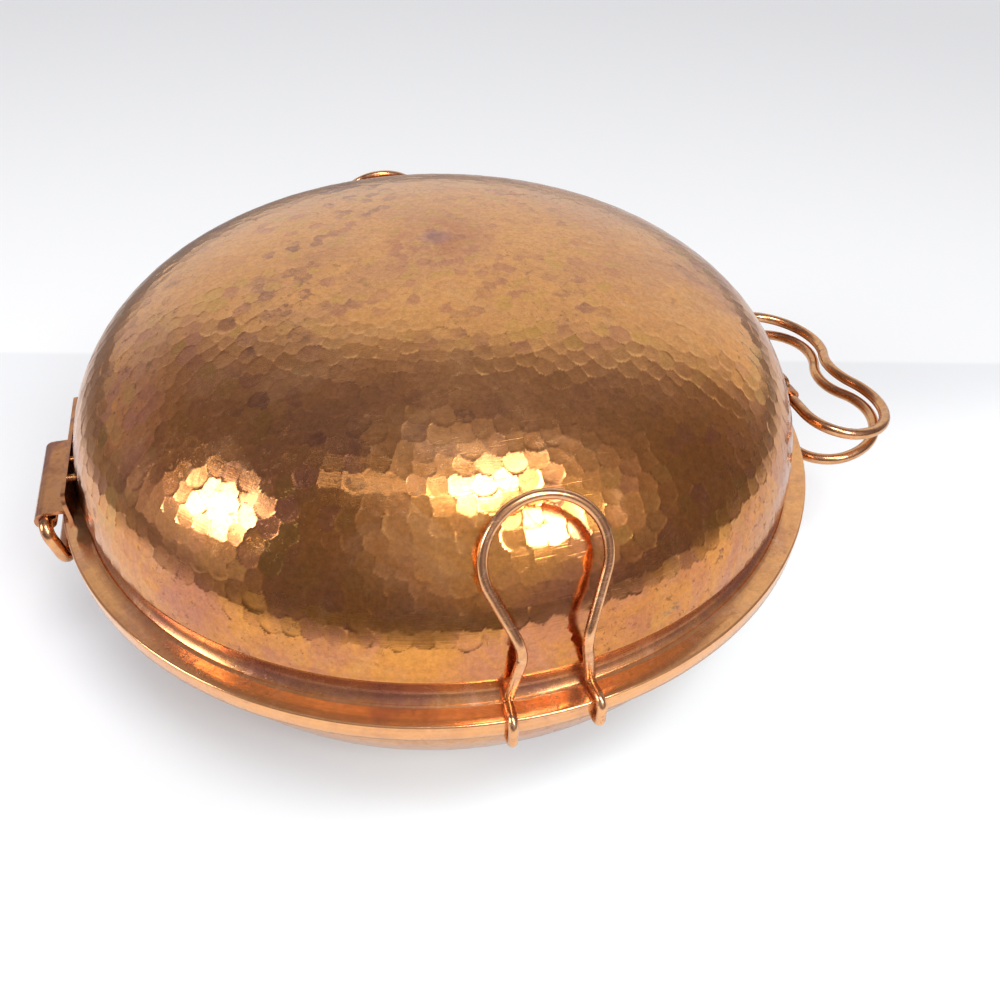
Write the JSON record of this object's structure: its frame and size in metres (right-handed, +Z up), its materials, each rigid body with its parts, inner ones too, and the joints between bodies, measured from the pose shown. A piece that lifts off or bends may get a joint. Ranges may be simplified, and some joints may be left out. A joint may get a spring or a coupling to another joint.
{
  "type": "cataplana pan",
  "caption": "Hinged clam-shell copper pan with hammered domes, a double-pivot hinge, loop handles and wire clamps that hold the rims together.",
  "frame": {"origin": "centre of the flat foot of the lower shell, on the table", "axes": "+Z up, +X from the hinge towards the pair of handles (the longest way), +Y towards the rear clamp; millimetre model, metres in the row"},
  "size_m": [0.3815, 0.3278, 0.1775],
  "materials": {
    "copper": "hammered and polished copper outside, slightly darkened by heat and handling; a wiped tin coat inside",
    "fitting": "rolled copper-alloy sheet, satin, darker in the bends",
    "rod": "drawn copper-alloy rod, polished, lightly tarnished",
    "wire": "hard-drawn spring wire, satin, lightly tarnished",
    "rivet": "low domed heads, satin"
  },
  "bodies": {
    "base": {"lower_shell": "copper", "lower_hinge_leaf": "fitting", "lower_handle_leaf": "fitting", "lower_hinge_rivets": "rivet", "lower_handle_rivets": "rivet"},
    "link": {"hinge_link": "rod"},
    "lid": {"upper_shell": "copper", "upper_hinge_leaf": "fitting", "upper_handle_leaf": "fitting", "upper_hinge_rivets": "rivet", "upper_handle_rivets": "rivet"},
    "upper_handle": {"upper_handle": "rod"},
    "lower_handle": {"lower_handle": "rod"},
    "front_clamp": {"front_clamp": "wire"},
    "rear_clamp": {"rear_clamp": "wire"}
  },
  "joints": [
    {"name": "link_turn", "type": "hinge", "parent": "base", "child": "link", "pos_m": [-0.1615, 0, 0.07088], "axis": [0, -1, 0], "range_deg": [0, 85]},
    {"name": "lid_turn", "type": "hinge", "parent": "link", "child": "lid", "pos_m": [-0.1648, 0, 0.08878], "axis": [0, -1, 0], "range_deg": [0, 85]},
    {"name": "upper_handle_swing", "type": "hinge", "parent": "lid", "child": "upper_handle", "pos_m": [0.1648, 0, 0.08878], "axis": [0, -1, 0], "range_deg": [0, 115]},
    {"name": "lower_handle_swing", "type": "hinge", "parent": "base", "child": "lower_handle", "pos_m": [0.1615, 0, 0.07088], "axis": [0, 1, 0], "range_deg": [0, 120]},
    {"name": "front_clamp_swing", "type": "hinge", "parent": "lid", "child": "front_clamp", "pos_m": [0, -0.1564, 0.08008], "axis": [1, 0, 0], "range_deg": [0, 120]},
    {"name": "rear_clamp_swing", "type": "hinge", "parent": "lid", "child": "rear_clamp", "pos_m": [0, 0.1564, 0.08008], "axis": [-1, 0, 0], "range_deg": [0, 120]}
  ],
  "couplings": [
    {"joint": "lid_turn", "follows": "link_turn", "ratio": 1}
  ]
}
